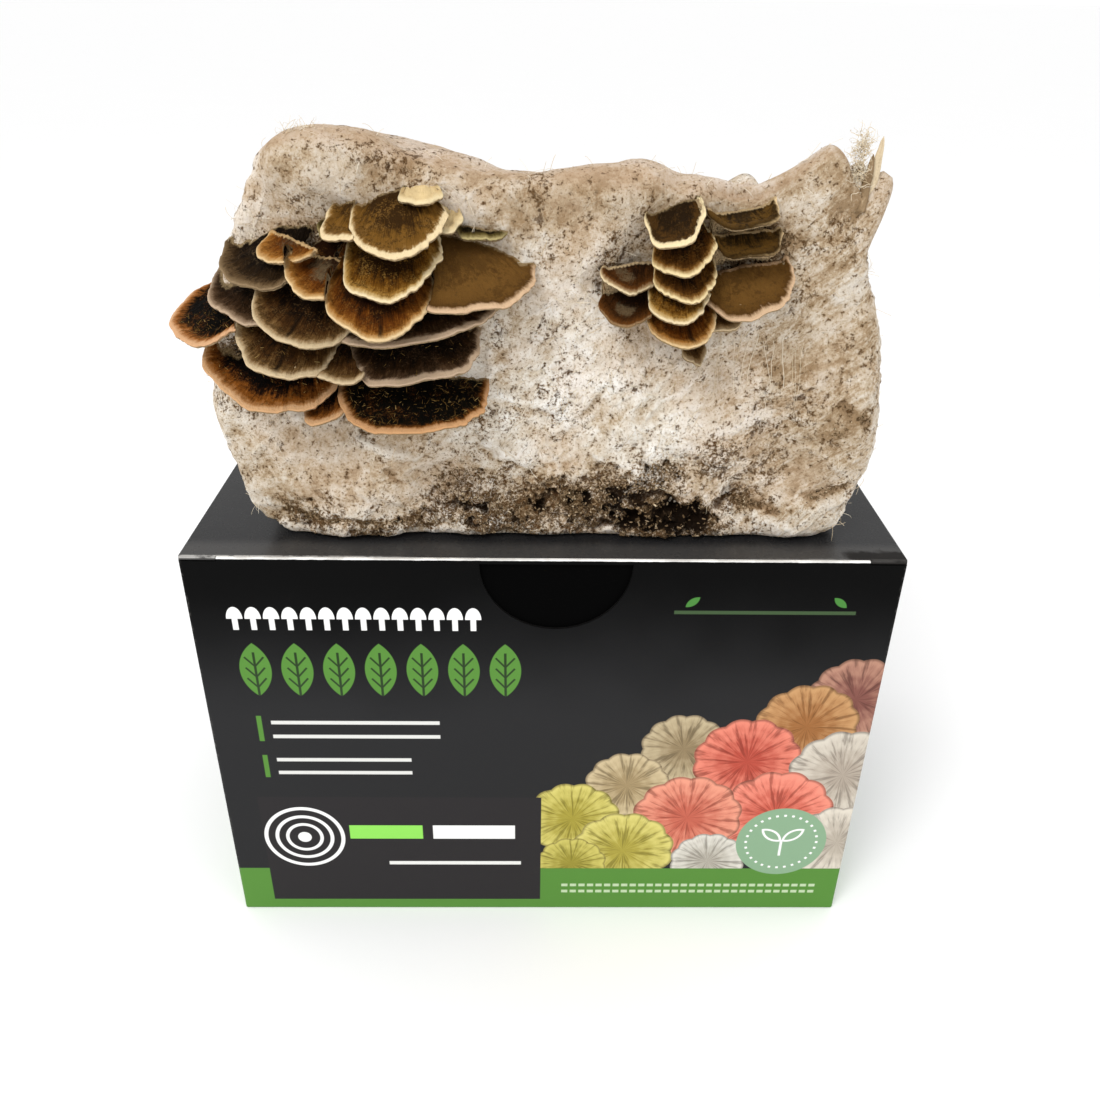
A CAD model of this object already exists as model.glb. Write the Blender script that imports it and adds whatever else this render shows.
"""Looks of the turkey tail grow kit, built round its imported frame.

Lengths are in metres, or in mm where a name or a comment says so. The carton stands on z = 0 and its
printed front faces -Y, as in the frame.
"""
import math

import bmesh
import bpy
import numpy as np
from mathutils import Matrix, Vector, noise
from mathutils.bvhtree import BVHTree


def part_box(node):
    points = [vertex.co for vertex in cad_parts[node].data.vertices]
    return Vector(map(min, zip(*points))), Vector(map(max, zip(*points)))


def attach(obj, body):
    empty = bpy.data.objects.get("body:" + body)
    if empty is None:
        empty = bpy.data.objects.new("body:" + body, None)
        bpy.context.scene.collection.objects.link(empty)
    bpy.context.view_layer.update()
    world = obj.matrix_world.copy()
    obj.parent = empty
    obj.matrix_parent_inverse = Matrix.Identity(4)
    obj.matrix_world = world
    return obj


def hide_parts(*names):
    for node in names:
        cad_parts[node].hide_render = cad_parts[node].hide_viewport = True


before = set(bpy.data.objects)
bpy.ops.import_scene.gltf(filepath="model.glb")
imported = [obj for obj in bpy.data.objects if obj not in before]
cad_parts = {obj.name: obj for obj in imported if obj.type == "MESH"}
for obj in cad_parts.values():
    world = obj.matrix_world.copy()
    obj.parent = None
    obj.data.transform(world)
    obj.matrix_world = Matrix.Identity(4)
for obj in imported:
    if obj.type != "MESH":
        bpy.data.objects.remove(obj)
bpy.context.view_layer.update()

MM = 0.001

# The carton's half width, half depth and height, in mm
HALF_WIDTH, HALF_DEPTH, HEIGHT = [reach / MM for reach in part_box("carton_body")[1]]

# The block's outline in mm: (height above the lid, side x) and (x, height of the top), and how far the
# top falls to the back. Lumps: the size, scale and shift of the noise. All as in the solids
BLOCK_LEFT = [(0, -93), (8, -99), (16, -103), (25, -105), (57, -104), (85, -96), (104, -89),
              (113, -85), (128, -78)]
BLOCK_RIGHT = [(0, 97), (8, 102.5), (16, 105.5), (25, 106), (42, 104.5), (65, 103.5), (84, 101), (98, 97),
               (107, 98), (122, 99.5)]
BLOCK_TOP = [(-106, 125), (-92, 129), (-75, 128.5), (-54, 124), (-28, 120), (-2, 118), (40, 116.5),
             (60, 115.5), (68, 117.5), (76, 122.5), (83, 126.5), (88, 125), (93, 119.5), (102, 116.5),
             (112, 116)]
BLOCK_TOP_FALL = 18
BLOCK_FRONT = -62
BLOCK_BACK = 56
BLOCK_HALF = np.array([106, (BLOCK_BACK - BLOCK_FRONT) / 2, 56])
BLOCK_ROUNDING = np.array([5, 12, 7])
BLOCK_FOOT_ROUNDING = np.array([9, 6, 5])
LUMPS = [(6.0, 0.030, 3.1), (2.6, 0.075, 11.7)]
LUMP_FADE = 3

# How far in mm the block's foot stands over the carton's height
LIFT = 0.3

# How finely the block is meshed, in mm, about how tall it is, and where its front slab meets the rest
FRONT_SPACING = 0.6
REST_SPACING = 1.03
BLOCK_TALL = 120
SLAB_DEPTH = 8
SEAM_LAP = 0.2

# White ridges and brown grooves on the block's front: x and height above the lid of both ends, half
# width and height, in mm
RIDGES = [
    (-20.2, 55.2, -11.5, 50.4, 1.2, 0.9), (-11.5, 50.4, 3.3, 46.5, 1.2, 0.9),
    (22.5, 63.1, 15.7, 55.6, 1.4, 1.1), (15.7, 55.6, 8.2, 43.8, 1.5, 1.3),
    (-21.2, 35, -3.5, 29.2, 1.3, 0.9), (-16.9, 67.4, -19.3, 54.6, 1.3, 0.9),
    (79.9, 55.5, 90.8, 62.1, 1.4, 0.9), (-84, 50, -76, 38, 1.5, 0.8), (-60, 37, -42, 30, 1.5, 0.8),
    (-66, 22, -48, 14, 1.3, 0.7), (55, 40, 72, 47, 1.5, 0.4), (84, 88, 96, 92, 1.5, 0.6),
    (-1, 66, 12, 73, 1.2, 0.6), (-8, 60, 6, 62, 1.1, 0.6), (2, 38, 14, 45, 1.2, 0.6),
    (-34, 34, -22, 42, 1.2, 0.5),
]
GROOVES = [
    (84.8, 16.1, 94.6, 17.3, 1.3, 1.1), (94.6, 17.3, 102.3, 21.1, 1.2, 1),
    (92.6, 50.7, 103.8, 41.3, 1.5, 1.2), (59.9, 14.1, 78.8, 10.5, 1.4, 1.2), (-53, 26, -46, 21, 0.7, 0.9),
    (-22, 31.5, -4, 25.5, 0.8, 0.7), (-12, 47.6, 2, 43.6, 0.8, 0.7), (18.5, 55.5, 11, 43, 0.8, 0.8),
    (66, 100, 88, 100.5, 1.2, 0.5), (-88, 12, -74, 5.5, 1, 0.9), (-74, 6, -52, 7.5, 0.9, 0.8),
    (-52, 7.5, -30, 3.5, 1, 0.7),
]
# White mats of mycelium on the front: x and height of the middle, half width, half height, tilt in
# degrees and strength
WHITE_MATS = [
    (2.5, 80, 10, 5, 35, 0.8), (-27, 110, 15, 4.5, -25, 0.9), (-72, 116, 20, 13, 0, 0.45),
    (-88, 100, 12, 20, 10, 0.6), (-2, 30, 18, 5.5, -28, 0.7), (12, 51, 15, 5, 58, 0.6),
    (-20, 60, 5, 13, 0, 0.7), (-75, 33, 18, 10, -40, 0.55), (-58, 19, 14, 6, -20, 0.6),
    (92, 86, 14, 6, 15, 0.6), (96, 28, 9, 14, 0, 0.55), (72, 112, 12, 5, 0, 0.5), (22, 108, 10, 6, 0, 0.5),
    (20, 84, 12, 5, 25, 0.5), (40, 32, 12, 5, 30, 0.35), (-2, 98, 12, 5, 30, 0.4), (12, 70, 14, 5, 30, 0.5),
    (97, 66, 6, 10, 0, 0.5),
]
# Where the substrate shows through, dark and crumbly: the same numbers
DARK_ZONES = [
    (38, 7, 28, 12, -3, 1.2), (14, 13, 24, 12, -14, 1), (-16, 10, 30, 11, -8, 0.75),
    (30, 21, 26, 10, 12, 0.75), (-26, 20, 16, 12, 20, 0.5), (94, 44, 5, 6, 30, 0.4),
    (68, 15, 10, 5, -12, 0.45), (-80, 8, 14, 4.5, -35, 0.6), (95, 19, 8, 3, 20, 0.5),
    (-50, 6, 26, 4.5, 3, 0.65), (52, 31, 26, 9, 12, 0.3), (0, 95, 9, 6, 0, 0.25),
    (-68, 84, 24, 15, -20, 1.4), (-90, 64, 10, 8, -20, 1.5), (58, 98, 15, 9, 0, 1.3),
    (-50, 98, 20, 9, -10, 1.4), (-90, 83, 7, 6, -30, 1.5),
]
# Deep holes in the dark crumb: the same numbers, the last being the depth in mm
CAVITIES = [
    (13, 16, 5, 3.5, 20, 4.5), (25, 8.5, 9, 4, -8, 5), (34, 17, 6, 3.5, 30, 4), (43, 11, 7, 6, 10, 5),
    (45, 3.5, 7, 2.5, 0, 4.5), (53, 8, 5, 4, 0, 4), (19, 3.5, 7, 2, 0, 3.5), (60, 14, 4, 2.5, 25, 3),
    (-2, 14, 4, 2, -20, 3), (-22, 8, 4, 2, 0, 2.5), (34, 3, 5, 2, 0, 4),
]
# Where the felt is thin and the face tan: the same numbers as for the mats
TAN_AREAS = [
    (-60, 119, 46, 16, -8, 1.2), (4, 110, 52, 18, 0, 1.3), (66, 110, 52, 18, 0, 1.2),
    (88, 66, 30, 50, 0, 1.1), (90, 30, 26, 24, 0, 1.3), (-84, 108, 30, 26, 0, 1), (-70, 24, 46, 26, 0, 0.8),
    (-10, 20, 70, 18, 0, 0.6), (60, 60, 18, 40, 0, 0.5),
]
# Where the face is pressed in behind the brackets: x and height of the middle, half width, half height,
# tilt in degrees and depth in mm
PRESSED = [
    (-84, 97, 24, 22, -20, 5.5), (-55, 90, 44, 30, 0, 2), (44, 94, 34, 28, 0, 1.6), (38, 112, 14, 8, 0, 2),
    (56, 112, 16, 9, 0, 3.4), (-62, 104, 16, 9, -20, 3),
]

# Where the top falls away behind its right hump, in mm: x of the middle, half width, depth, and the y where
# the fall begins and ends
BACK_DENT = (88, 32, 14, -42, -5)

# Brackets, as in the solids: x of the root and its height above the lid in mm; heading, dip and lean in
# degrees; half length, half width and shift outwards in mm; squareness
LEFT_BRACKETS = [
    (-43, 109.8, 4, 24, -5, 18, 13, 8, 1.0),
    (-44.5, 99.5, -3, 24, -3, 20, 14, 8, 1.0),
    (-52.5, 109, -24, 24, 4, 13, 8.5, 5, 1.0),
    (-49, 91.5, 4, 20, 0, 24, 15, 12, 1.0),
    (-55.5, 94, -38, 13, 20, 16, 14, 8.5, 1.0),
    (-66, 102.5, -56, 22, 14, 13, 10, 6, 1.0),
    (-26, 95.5, 28, 28, -8, 20, 21, 4, 0.9),
    (-79, 96.5, -48, 25, 15, 13, 14.5, 4, 1.0),
    (-58, 98, -26, 20, 4, 10, 7.5, 3, 1.0),
    (-60, 103, -24, 22, 4, 6, 6, 1, 1.0),
    (-65, 87, -28, 24, 25, 19, 16, 8, 1.0),
    (-19.5, 102.5, 10, 20, 0, 5, 7, 1, 0.8),
    (-84, 86, -50, 23, 20, 13, 15, 3, 1.0),
    (-41, 82, 8, 18, -10, 19, 27, 3, 0.8),
    (-73, 77, -24, 27, 24, 17, 15, 8, 0.9),
    (-96.5, 79.3, -62, 24, 12, 13, 15, 4, 1.0),
    (-40, 72, 6, 22, -8, 20, 20.5, 3, 0.75),
    (-57, 72, -10, 22, -6, 19, 11, 5, 0.9),
    (-81, 66, -28, 26, 24, 20, 20, 3, 0.85),
    (-41, 58, 4, 20, -3, 24, 23, 2, 0.7),
    (-66, 56, -8, 24, -6, 15, 8, 4, 0.9),
]
RIGHT_BRACKETS = [
    (36.3, 111.3, -6, 28, -14, 12, 8.4, 8.5, 1.0),
    (38.3, 102.5, 0, 26, -12, 14, 8.8, 6, 1.0),
    (39, 95, 2, 22, -7, 15, 9, 6, 1.0),
    (25, 93, -24, 22, 18, 9, 8, 4, 0.9),
    (54, 111.8, 12, 24, -9, 9, 10, 5, 0.85),
    (56, 104, 12, 24, -9, 9.5, 10, 4.5, 0.85),
    (55, 93, 30, 30, -28, 16, 14, 4, 0.95),
    (38, 89, 0, 20, -7, 16, 9, 6, 1.0),
    (26, 85, -22, 22, 8, 12, 8, 4, 0.85),
    (38, 82, 8, 20, -7, 16, 10, 6, 0.9),
    (51.5, 81.5, 20, 28, -30, 8, 8, 3, 1.0),
    (44, 69, 10, 36, 10, 5.5, 4, 2, 1.0),
]

# Every bracket, as in the solids, lengths in mm: the y of its root; how far its pole, where its spokes
# meet, lies behind the root, over it and under the block's top; how it swings, bows, curls and waves
ROOT_Y = -61
POLE_DEPTH = 12
POLE_RISE = 6
POLE_COVER = 4
ROOT_THICKNESS = 3.0
FAN_SPREAD = math.radians(148)
FAN_TANGENT = 0.95
DOME = 0.05
CURL = 2.0
WAVE = 0.5
WAVES = 5

# In the scene alone, in mm: a thinner rim, the hollow in the top, how far a bracket over another clears
# its top, and how near the block's face colours a bracket
RIM_THICKNESS = 0.8
BOWL = 1.5
CUT_ABOVE = 4
NEAR_LIMIT = 6

# How finely a bracket is meshed
FEWEST_SPOKES = 36
SPOKE_SPACING = 0.62
TOP_RINGS = 26
RIM_STEPS = 6
UNDER_RINGS = 12
FIRST_RING = 0.08

# How each bracket is finished, in the order of the lists above: the finish, the margin's width in mm at
# its left end, middle and right end, how strong its grey bloom is, and where a dark radial line runs, in
# degrees from its middle, or None
LEFT_FINISHES = [
    ("spongy", 1.5, 2.2, 3.0, 0, None), ("golden", 0.9, 1.2, 2.2, 0, None),
    ("spongy", 1.6, 2.0, 1.6, 0, None), ("amber", 0.9, 1.0, 1.7, 0, 4),
    ("amber", 0.8, 0.9, 0.7, 1, None), ("amber", 0.8, 0.7, 0.5, 0.4, None),
    ("olive", 0.9, 1.9, 1.1, 0, None), ("smoky", 0.8, 0.7, 0.5, 0.3, None),
    ("amber", 0.9, 0.8, 0.6, 0, None), ("recess", 0.4, 0.4, 0.4, 0, None),
    ("umber", 1.1, 1.3, 1.7, 0, 8), ("recess", 0.7, 0.8, 0.8, 0, None),
    ("mauve", 1.1, 1.1, 0.8, 0, None), ("mauve", 1.6, 2.2, 1.2, 0, None),
    ("umber", 1.3, 1.6, 2.0, 0, 10), ("cinder", 1.7, 1.6, 1.5, 0, None),
    ("mauve", 1.8, 2.6, 1.4, 0, None), ("umber", 0.9, 1.4, 1.2, 0, None),
    ("ember", 1.5, 1.8, 2.0, 0, None), ("coal", 2.2, 1.9, 1.4, 0, None),
    ("ember", 1.6, 1.8, 1.4, 0, None),
]
RIGHT_FINISHES = [
    ("cream_rimmed", 1.3, 1.9, 4.4, 0, None), ("umber_gold", 1.0, 1.2, 1.8, 0, None),
    ("umber_gold", 0.9, 1.0, 1.5, 0, None), ("russet", 0.9, 0.8, 0.7, 0.9, None),
    ("dusk", -1.2, -0.6, 1.8, 0, None), ("dusk", -1.2, -0.4, 1.2, 0, None),
    ("olive", 0.8, 1.7, 1.2, 0, None), ("golden", 0.9, 1.0, 1.7, 0, None),
    ("russet", -0.4, -0.2, 0.0, 0.9, None), ("amber", 0.4, 0.7, 1.5, 0, 4),
    ("umber", 0.8, 0.8, 0.8, 0, None), ("umber", 1.2, 0.6, 1.2, 0, None),
]

# Brackets whose back edge stands free as a pale crest: how far in mm its line lies out from the root,
# and how much farther for each mm across
BACK_EDGES = {
    "cap_left_05": (9.0, -0.39), "cap_left_06": (9.8, -0.26), "cap_left_07": (-7.0, 0.86),
    "cap_right_04": (3.0, -0.79), "cap_right_05": (4.5, 0.0), "cap_right_06": (4.5, 0.1),
    "cap_right_07": (3.5, 0.35),
}
BACK_DROP = 9

# How much narrower in mm the palest part of the rim is than the margin's width
RIM_OFFSET = 1.8

# Finishes: sRGB colours of the centre, middle, outer zone and margin; how far in mm the outer zone
# reaches behind the margin; how blotchy the top is; about how far from the rim in mm its centre begins
FINISHES = {
    "spongy": ((52, 33, 10), (110, 76, 28), (132, 96, 46), (226, 204, 162), 2.2, 1.0, 9),
    "golden": ((40, 22, 4), (104, 66, 16), (172, 130, 62), (232, 212, 170), 3.4, 0.8, 8),
    "amber": ((34, 15, 3), (92, 48, 8), (158, 106, 46), (224, 196, 150), 3.4, 0.5, 9),
    "olive": ((88, 61, 26), (108, 76, 34), (82, 54, 22), (206, 174, 140), 1.8, 1.4, 13),
    "smoky": ((18, 10, 4), (44, 30, 14), (88, 68, 44), (146, 124, 94), 3.0, 0.7, 7),
    "mauve": ((14, 8, 3), (40, 24, 9), (86, 64, 44), (184, 160, 134), 3.0, 0.7, 8),
    "umber": ((20, 10, 4), (62, 38, 14), (120, 90, 52), (204, 182, 146), 3.4, 0.7, 9),
    "umber_gold": ((26, 13, 3), (78, 46, 12), (134, 92, 40), (238, 216, 166), 3.0, 0.8, 8),
    "ember": ((5, 3, 2), (30, 13, 3), (134, 78, 26), (200, 158, 116), 4.6, 0.5, 7),
    "coal": ((5, 4, 2), (14, 10, 4), (112, 66, 24), (196, 150, 106), 1.8, 0.5, 5),
    "cream_rimmed": ((36, 23, 8), (78, 52, 20), (70, 48, 20), (238, 218, 174), 1.2, 1.2, 7),
    "dusk": ((36, 24, 7), (96, 68, 27), (60, 42, 16), (220, 192, 148), 2.0, 1.2, 8),
    "russet": ((30, 16, 6), (66, 37, 11), (98, 58, 22), (228, 208, 168), 2.4, 0.4, 8),
    "cinder": ((6, 4, 2), (26, 15, 5), (140, 84, 36), (206, 162, 122), 2.4, 0.4, 4.5),
    "recess": ((22, 16, 5), (54, 42, 16), (94, 80, 42), (184, 168, 118), 1.4, 0.9, 4),
    "pale": ((206, 178, 122), (226, 200, 150), (232, 208, 160), (236, 216, 172), 1.5, 0.2, 20),
}
TOOTHED = ("golden", "spongy", "umber_gold")
COARSE_TOOTH = 1.6
FELT_EDGE = (158, 136, 100)
BLOOM_COLOUR = (112, 94, 68)
LINE_COLOUR = (16, 9, 4)

# Seeds of what is random
LOOSE_SEED = 11
HAIR_SEED = 23
LEFT_SEED = 1
RIGHT_SEED = 51
PALE_SEED = 90

# Loose bits: how many chips and fuzz threads there are, and the points along and round a thread
CHIP_COUNT = 6500
CHIP_CORNERS = 8
FUZZ_COUNT = 1500
FUZZ_POINTS = 6
THREAD_POINTS = 10
TUBE_SIDES = 4
# The hanging runs, in mm: x of the first and how far they spread, and x and height of the highest
RUN_COUNT = 12
RUN_LEFT = 52
RUN_SPREAD = 30
RUN_PEAK = (60, 72)
# Tufts: place, lean, how many fibres, their length, spread, radius and wiggle, and the range of tones
TUFTS = {
    "tuft_left": ((-69, BLOCK_FRONT + 5, HEIGHT + 127), (0.2, 0, 0.6), 70, 5.0, (3.4, 1.2, 0.6), 0.07, 0.5,
                  (0.4, 1.0)),
    "tuft_right": ((88.4, BLOCK_FRONT + 4, HEIGHT + 125), (-0.3, -0.1, 0.6), 190, 4.6, (1.3, 0.8, 2.2),
                   0.09, 0.9, (0.5, 1.0)),
    "tuft_right_low": ((87.6, BLOCK_FRONT + 2, HEIGHT + 118), (-0.3, -0.1, 0.6), 190, 4.6,
                       (1.3, 0.8, 2.2), 0.09, 0.9, (0.5, 1.0)),
}
# Splinters of wood, and a felted crumb and flake, at the top right corner, each with its foot, tip,
# width, thickness, tone and bluntness
BLADE_STEPS = 16
BLADE_SIDES = 16
SPLINTERS = {
    "splinter": ((91.8, -59.0, HEIGHT + 110.0), (94.4, -56.5, HEIGHT + 128.0), 3.3, 1.3, 0.98, 1.8),
    "splinter_low": ((89.6, -60.5, HEIGHT + 108.0), (91.6, -58.5, HEIGHT + 123.5), 3.2, 1.2, 0.6, 1.6),
}
CRUMB = ((83.0, -57.5, HEIGHT + 100.0), (88.6, -57.0, HEIGHT + 121.5), 10.0, 7.0, 0.5, 3.0)
FLAKE = ((88.5, -57.5, HEIGHT + 94.0), (96.4, -55.0, HEIGHT + 118.5), 10.5, 9.0, 0.5, 7.0)
# Pale folds beside the top cap, as brackets, and their finish
PALE_FOLDS = [(-36.5, 114.6, 6, 20, -4, 5, 5.8, 5.5, 0.7), (-30.5, 107.5, 14, 26, -6, 7, 4.6, 3, 0.8)]
PALE_FINISH = ("pale", 0.9, 0.9, 0.9, 0, None)
# The hairy caps of the left cluster and how many hairs each has; where they stand, in mm from the rim
HAIRY_CAPS = [(20, 420), (16, 140), (19, 120), (15, 60), (17, 60)]
HAIR_ZONE = (2.0, 16.0)
HAIR_POINTS = 4

# Where the lid folds down at the front, its y in mm
FOLD_Y = -73.2

# Inks of the carton's print, and how soft its edges are in mm
WHITE_INK = (238, 238, 236)
GREEN_INK = (85, 133, 58)
BRIGHT_GREEN_INK = (140, 214, 92)
RULE_INK = (198, 198, 194)
PRINT_SOFTNESS = 0.18
# The printed bank of scalloped fans: x and height of the middle and the radius in mm, and the colours of
# the heart and the rim
PRINTED_FANS = [
    (112, 116, 17, (123, 78, 70), (176, 132, 112)), (96, 104, 18, (150, 100, 58), (190, 146, 100)),
    (52, 92, 15, (140, 122, 92), (184, 168, 136)), (76, 88, 19, (176, 76, 62), (222, 132, 112)),
    (113, 82, 20, (168, 156, 142), (206, 198, 184)), (32, 74, 15, (156, 136, 100), (196, 178, 142)),
    (12, 58, 17, (158, 146, 60), (204, 194, 110)), (90, 62, 21, (190, 88, 72), (230, 142, 122)),
    (56, 60, 20, (186, 96, 78), (224, 150, 126)), (32, 42, 19, (164, 152, 66), (208, 198, 116)),
    (116, 46, 18, (176, 166, 152), (214, 206, 192)), (66, 34, 14, (170, 164, 152), (212, 208, 198)),
    (12, 32, 13, (148, 138, 56), (196, 186, 100)),
]
# Plain rules printed on the other walls: height and half length in mm
PLAIN_RULES = [(112, 42), (104, 42), (96, 30), (80, 42), (72, 36), (64, 22)]
BACK_STRETCH = 1.8
# The top of the green band, and the middle of the round seal, in mm
GREEN_BAND_TOP = 22.8
SEAL = (94.1, 37.4)

# Studio, in metres: the floor's side and tones, how far the camera sees, the strength of the white
# world, the lamps' places, sizes and power in watts, and where they shine
FLOOR_SIZE = 2000
FLOOR_TONES = (0.955, 0.965)
FAR_CLIP = 3000
WORLD_STRENGTH = 1.03
LAMPS = {"key": ((-0.45, -0.75, 1.05), 0.45, 6.5), "fill": ((0.9, -0.9, 0.6), 0.9, 1.0)}
LAMP_TARGET = (0, -0.05, 0.2)

# Camera
CAMERA_PLACE = Vector((-0.0038, -0.3550, 0.3255))
CAMERA_PITCH = math.radians(29.32)
CAMERA_ROLL = math.radians(0.91)
CAMERA_YAW = math.radians(1.10)
CAMERA_LENS = 32.24
SENSOR = 36


class Wire:
    """An output socket of a node. Arithmetic on it adds Math nodes."""

    def __init__(self, look, socket):
        self.look = look
        self.socket = socket

    def maths(self, operation, first, second=0.0):
        return self.look.node("ShaderNodeMath", {"operation": operation}, {0: first, 1: second})

    def __add__(self, other):
        return self.maths("ADD", self, other)

    __radd__ = __add__

    def __sub__(self, other):
        return self.maths("SUBTRACT", self, other)

    def __rsub__(self, other):
        return self.maths("SUBTRACT", other, self)

    def __mul__(self, other):
        return self.maths("MULTIPLY", self, other)

    __rmul__ = __mul__

    def __truediv__(self, other):
        return self.maths("DIVIDE", self, other)

    def __pow__(self, other):
        return self.maths("POWER", self, other)

    def __abs__(self):
        return self.maths("ABSOLUTE", self)

    def or_more(self, other):
        return self.maths("MAXIMUM", self, other)

    def or_less(self, other):
        return self.maths("MINIMUM", self, other)

    def sine(self):
        return self.maths("SINE", self)

    def cosine(self):
        return self.maths("COSINE", self)


class Look:
    """A material: one Principled shader and the nodes that feed it. Its places are in mm."""

    def __init__(self, name, **sockets):
        self.material = bpy.data.materials.new(name)
        self.material.use_nodes = True
        self.tree = self.material.node_tree
        self.shader = self.tree.nodes["Principled BSDF"]
        for socket, value in sockets.items():
            self.shader.inputs[socket.replace("_", " ").title().replace("Ior", "IOR")].default_value = value
        here = self.node("ShaderNodeTexCoord", output="Object")
        self.place = self.stretch(here, (1 / MM, 1 / MM, 1 / MM))

    def node(self, kind, settings=None, inputs=None, output=0):
        made = self.tree.nodes.new(kind)
        for name, value in (settings or {}).items():
            setattr(made, name, value)
        for socket, value in (inputs or {}).items():
            self.feed(made.inputs[socket], value)
        return Wire(self, made.outputs[output])

    def feed(self, socket, value):
        if isinstance(value, Wire):
            self.tree.links.new(value.socket, socket)
        else:
            socket.default_value = value

    def stretch(self, place, factors):
        return self.node("ShaderNodeVectorMath", {"operation": "MULTIPLY"}, {0: place, 1: factors})

    def axes(self):
        split = self.tree.nodes.new("ShaderNodeSeparateXYZ")
        self.feed(split.inputs[0], self.place)
        return [Wire(self, output) for output in split.outputs]

    def joined(self, x, y, z):
        return self.node("ShaderNodeCombineXYZ", None, {0: x, 1: y, 2: z})

    def noise(self, size, detail=3.0, roughness=0.55, place=None):
        """Fractal noise from 0 to 1, mostly near 0.5, its coarsest grain about size mm across."""
        return self.node("ShaderNodeTexNoise", None, {
            "Vector": place or self.place, "Scale": 1 / size, "Detail": detail, "Roughness": roughness})

    def cells(self, size):
        """The distance from the middles of cells about size mm across."""
        return self.node("ShaderNodeTexVoronoi", None, {"Vector": self.place, "Scale": 1 / size}, "Distance")

    def fade(self, value, low, high):
        """Smoothly from 0 at low to 1 at high, whichever is larger."""
        return self.node("ShaderNodeMapRange", {"interpolation_type": "SMOOTHSTEP"},
                         {0: value, 1: low, 2: high, 3: 0.0, 4: 1.0})

    def ramp(self, value, stops, end=1.0):
        """Colour at a value, from stops of (value, sRGB colour), the last of them at end."""
        made = self.node("ShaderNodeValToRGB", None, {0: value / end})
        band = made.socket.node.color_ramp
        while len(band.elements) < len(stops):
            band.elements.new(0.5)
        for element, (place, colour) in zip(band.elements, stops):
            element.position = place / end
            element.color = rgb(*colour)
        return made

    def mix(self, factor, first, second):
        return self.node("ShaderNodeMix", {"data_type": "RGBA"}, {0: factor, 6: first, 7: second}, 2)

    def paint(self, base, mask, *colour):
        """An sRGB colour laid over a base where a mask is 1."""
        return self.mix(mask, base, rgb(*colour))

    def marks(self, *names):
        """The numbers kept on a piece's points, by name."""
        return [self.node("ShaderNodeAttribute", {"attribute_type": "GEOMETRY", "attribute_name": name},
                          None, "Fac") for name in names]

    def bump(self, height, depth):
        """A bump map whose height of 1 stands depth mm proud."""
        return self.node("ShaderNodeBump", None,
                         {"Height": height, "Distance": depth * MM, "Strength": 1.0}, "Normal")

    def finish(self, colour, roughness=None, normal=None):
        self.feed(self.shader.inputs["Base Color"], colour)
        if roughness is not None:
            self.feed(self.shader.inputs["Roughness"], roughness)
        if normal is not None:
            self.feed(self.shader.inputs["Normal"], normal)
        return self.material


def rgb(red, green, blue):
    """A linear colour from an sRGB one, 0 to 255."""
    def linear(value):
        part = value / 255
        return part / 12.92 if part <= 0.04045 else ((part + 0.055) / 1.055) ** 2.4
    return (linear(red), linear(green), linear(blue), 1.0)


def piece_from(name, points, faces, material, marks=None, smooth=True):
    """A new piece in metres from points in mm. Marks are numbers kept on its points, by name."""
    mesh = bpy.data.meshes.new(name)
    mesh.from_pydata((np.asarray(points) * MM).tolist(), [], faces)
    for mark, values in (marks or {}).items():
        made = mesh.attributes.new(mark, "FLOAT", "POINT")
        made.data.foreach_set("value", np.asarray(values, dtype=np.float32))
    mesh.materials.append(material)
    if smooth:
        mesh.shade_smooth()
    mesh.validate()
    piece = bpy.data.objects.new(name, mesh)
    bpy.context.scene.collection.objects.link(piece)
    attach(piece, "root")
    return piece


def mesh_places(mesh):
    """A mesh's points, in metres."""
    places = np.empty(len(mesh.vertices) * 3)
    mesh.vertices.foreach_get("co", places)
    return places.reshape(-1, 3)


def mesh_mark(mesh, mark):
    """The numbers kept on a mesh's points under a name."""
    values = np.empty(len(mesh.vertices), dtype=np.float32)
    mesh.attributes[mark].data.foreach_get("value", values)
    return values


def noise_at(points, size, shift=0.0, octaves=1):
    """Noise between about -1 and 1 at points in mm, its coarsest grain about size mm across."""
    places = (points / size + shift).tolist()
    if octaves == 1:
        return np.array([noise.noise(Vector(place)) for place in places])
    return np.array([noise.fractal(Vector(place), 1.0, 2.0, octaves) for place in places])


def smooth_step(values, low, high):
    t = np.clip((values - low) / (high - low), 0, 1)
    return t * t * (3 - 2 * t)


def curve_through(points, values):
    """Heights at values of a smooth curve through points that are sorted by their first number."""
    xs, ys = np.array(points, dtype=float).T
    after = np.minimum(np.arange(len(xs)) + 1, len(xs) - 1)
    before = np.maximum(np.arange(len(xs)) - 1, 0)
    slopes = (ys[after] - ys[before]) / (xs[after] - xs[before])
    values = np.clip(values, xs[0], xs[-1])
    i = np.clip(np.searchsorted(xs, values) - 1, 0, len(xs) - 2)
    span = xs[i + 1] - xs[i]
    t = (values - xs[i]) / span
    return ((2 * t ** 3 - 3 * t ** 2 + 1) * ys[i] + (t ** 3 - 2 * t ** 2 + t) * span * slopes[i]
            + (3 * t ** 2 - 2 * t ** 3) * ys[i + 1] + (t ** 3 - t ** 2) * span * slopes[i + 1])


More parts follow.
